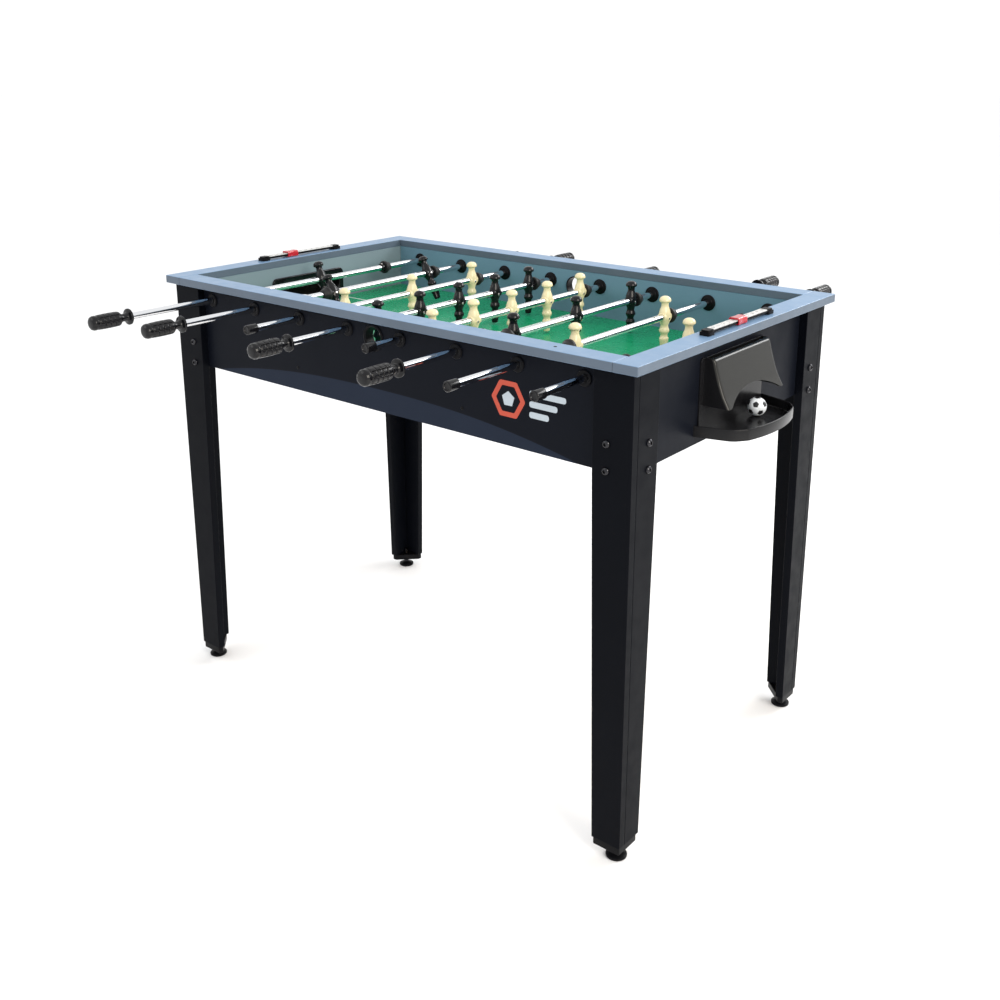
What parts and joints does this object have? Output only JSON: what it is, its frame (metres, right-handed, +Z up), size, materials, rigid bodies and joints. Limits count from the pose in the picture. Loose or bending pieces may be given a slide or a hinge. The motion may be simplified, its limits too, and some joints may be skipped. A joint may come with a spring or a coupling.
{
  "type": "foosball table",
  "caption": "Foosball table on tapered L-section legs, with sliding and spinning player rods, goals, bowed ball-return trays, hoods and bar scorers.",
  "frame": {"origin": "on the floor, under the middle of the cabinet", "axes": "+X along the pitch towards the end with the ball in its tray, +Y along the rods towards the back, +Z up"},
  "size_m": [1.222, 1.136, 0.8475],
  "materials": {
    "board_black": "black laminate board, satin",
    "board_rim": "pale blue-grey laminate, satin",
    "pitch_green": "printed green laminate",
    "batten_wood": "raw softwood",
    "plastic_black": "moulded black plastic",
    "plastic_grip": "waffle-moulded black plastic",
    "plastic_hood": "polished dark grey plastic",
    "plastic_cream": "cream figure plastic",
    "plastic_figure_black": "black figure plastic",
    "plastic_red": "red marker plastic",
    "ball_plastic": "white ball with black patches",
    "rod_chrome": "polished chrome tube",
    "bumper_rubber": "soft black rubber",
    "bolt_steel": "black zinc bolt"
  },
  "bodies": {
    "table": {"panel_front": "board_black", "panel_back": "board_black", "panel_left": "board_black", "panel_right": "board_black", "top_rails": "board_rim", "playfield": "pitch_green", "field_battens": "batten_wood", "leg_front_left": "board_black", "leg_front_right": "board_black", "leg_back_left": "board_black", "leg_back_right": "board_black", "leg_caps": "plastic_black", "leg_bolts": "bolt_steel", "goal_frames": "plastic_black", "return_trays": "plastic_black", "return_hoods": "plastic_hood", "scorer_bars": "plastic_black", "rod_bushings": "plastic_black", "ball_entry_cups": "plastic_black"},
    "foot_front_left": {"leveller_front_left": "plastic_black"},
    "foot_front_right": {"leveller_front_right": "plastic_black"},
    "foot_back_left": {"leveller_back_left": "plastic_black"},
    "foot_back_right": {"leveller_back_right": "plastic_black"},
    "rod_1_carriage": {"rod_1_bumpers": "bumper_rubber"},
    "rod_1_bar": {"rod_1_tube": "rod_chrome", "rod_1_players": "plastic_figure_black", "rod_1_grips": "plastic_grip"},
    "rod_2_carriage": {"rod_2_bumpers": "bumper_rubber"},
    "rod_2_bar": {"rod_2_tube": "rod_chrome", "rod_2_players": "plastic_figure_black", "rod_2_grips": "plastic_grip"},
    "rod_3_carriage": {"rod_3_bumpers": "bumper_rubber"},
    "rod_3_bar": {"rod_3_tube": "rod_chrome", "rod_3_players": "plastic_cream", "rod_3_grips": "plastic_grip"},
    "rod_4_carriage": {"rod_4_bumpers": "bumper_rubber"},
    "rod_4_bar": {"rod_4_tube": "rod_chrome", "rod_4_players": "plastic_figure_black", "rod_4_grips": "plastic_grip"},
    "rod_5_carriage": {"rod_5_bumpers": "bumper_rubber"},
    "rod_5_bar": {"rod_5_tube": "rod_chrome", "rod_5_players": "plastic_cream", "rod_5_grips": "plastic_grip"},
    "rod_6_carriage": {"rod_6_bumpers": "bumper_rubber"},
    "rod_6_bar": {"rod_6_tube": "rod_chrome", "rod_6_players": "plastic_figure_black", "rod_6_grips": "plastic_grip"},
    "rod_7_carriage": {"rod_7_bumpers": "bumper_rubber"},
    "rod_7_bar": {"rod_7_tube": "rod_chrome", "rod_7_players": "plastic_cream", "rod_7_grips": "plastic_grip"},
    "rod_8_carriage": {"rod_8_bumpers": "bumper_rubber"},
    "rod_8_bar": {"rod_8_tube": "rod_chrome", "rod_8_players": "plastic_cream", "rod_8_grips": "plastic_grip"},
    "score_marker_left": {"score_slider_left": "plastic_red"},
    "score_marker_right": {"score_slider_right": "plastic_red"},
    "loose_ball_pitch": {"ball_field": "ball_plastic"},
    "loose_ball_tray": {"ball_tray": "ball_plastic"}
  },
  "joints": [
    {"name": "foot_front_left_screw", "type": "slide", "parent": "table", "child": "foot_front_left", "axis": [0, 0, -1], "range_m": [0, 0.01]},
    {"name": "foot_front_right_screw", "type": "slide", "parent": "table", "child": "foot_front_right", "axis": [0, 0, -1], "range_m": [0, 0.01]},
    {"name": "foot_back_left_screw", "type": "slide", "parent": "table", "child": "foot_back_left", "axis": [0, 0, -1], "range_m": [0, 0.01]},
    {"name": "foot_back_right_screw", "type": "slide", "parent": "table", "child": "foot_back_right", "axis": [0, 0, -1], "range_m": [0, 0.01]},
    {"name": "rod_1_slide", "type": "slide", "parent": "table", "child": "rod_1_carriage", "axis": [0, 1, 0], "range_m": [-0.0597, 0.0997]},
    {"name": "rod_1_spin", "type": "hinge", "parent": "rod_1_carriage", "child": "rod_1_bar", "pos_m": [-0.441, 0, 0.794], "axis": [0, 1, 0], "continuous": true},
    {"name": "rod_2_slide", "type": "slide", "parent": "table", "child": "rod_2_carriage", "axis": [0, 1, 0], "range_m": [-0.1474, 0.0754]},
    {"name": "rod_2_spin", "type": "hinge", "parent": "rod_2_carriage", "child": "rod_2_bar", "pos_m": [-0.315, 0, 0.794], "axis": [0, 1, 0], "continuous": true},
    {"name": "rod_3_slide", "type": "slide", "parent": "table", "child": "rod_3_carriage", "axis": [0, 1, 0], "range_m": [-0.0614, 0.0754]},
    {"name": "rod_3_spin", "type": "hinge", "parent": "rod_3_carriage", "child": "rod_3_bar", "pos_m": [-0.189, 0, 0.794], "axis": [0, 1, 0], "continuous": true},
    {"name": "rod_4_slide", "type": "slide", "parent": "table", "child": "rod_4_carriage", "axis": [0, 1, 0], "range_m": [-0.0234, 0.0414]},
    {"name": "rod_4_spin", "type": "hinge", "parent": "rod_4_carriage", "child": "rod_4_bar", "pos_m": [-0.063, 0, 0.794], "axis": [0, 1, 0], "continuous": true},
    {"name": "rod_5_slide", "type": "slide", "parent": "table", "child": "rod_5_carriage", "axis": [0, 1, 0], "range_m": [-0.0294, 0.0354]},
    {"name": "rod_5_spin", "type": "hinge", "parent": "rod_5_carriage", "child": "rod_5_bar", "pos_m": [0.063, 0, 0.794], "axis": [0, 1, 0], "continuous": true},
    {"name": "rod_6_slide", "type": "slide", "parent": "table", "child": "rod_6_carriage", "axis": [0, 1, 0], "range_m": [-0.0954, 0.0414]},
    {"name": "rod_6_spin", "type": "hinge", "parent": "rod_6_carriage", "child": "rod_6_bar", "pos_m": [0.189, 0, 0.794], "axis": [0, 1, 0], "continuous": true},
    {"name": "rod_7_slide", "type": "slide", "parent": "table", "child": "rod_7_carriage", "axis": [0, 1, 0], "range_m": [-0.0994, 0.1234]},
    {"name": "rod_7_spin", "type": "hinge", "parent": "rod_7_carriage", "child": "rod_7_bar", "pos_m": [0.315, 0, 0.794], "axis": [0, 1, 0], "continuous": true},
    {"name": "rod_8_slide", "type": "slide", "parent": "table", "child": "rod_8_carriage", "axis": [0, 1, 0], "range_m": [-0.0767, 0.0827]},
    {"name": "rod_8_spin", "type": "hinge", "parent": "rod_8_carriage", "child": "rod_8_bar", "pos_m": [0.441, 0, 0.794], "axis": [0, 1, 0], "continuous": true},
    {"name": "score_left_slide", "type": "slide", "parent": "table", "child": "score_marker_left", "axis": [0, 1, 0], "range_m": [-0.0475, 0.1035]},
    {"name": "score_right_slide", "type": "slide", "parent": "table", "child": "score_marker_right", "axis": [0, 1, 0], "range_m": [-0.0755, 0.0755]},
    {"name": "ball_pitch_roll", "type": "slide", "parent": "table", "child": "loose_ball_pitch", "axis": [0, 1, 0], "range_m": [-0.2, 0.3]},
    {"name": "ball_tray_roll", "type": "slide", "parent": "table", "child": "loose_ball_tray", "axis": [0, 1, 0], "range_m": [-0.105, 0.022]}
  ]
}
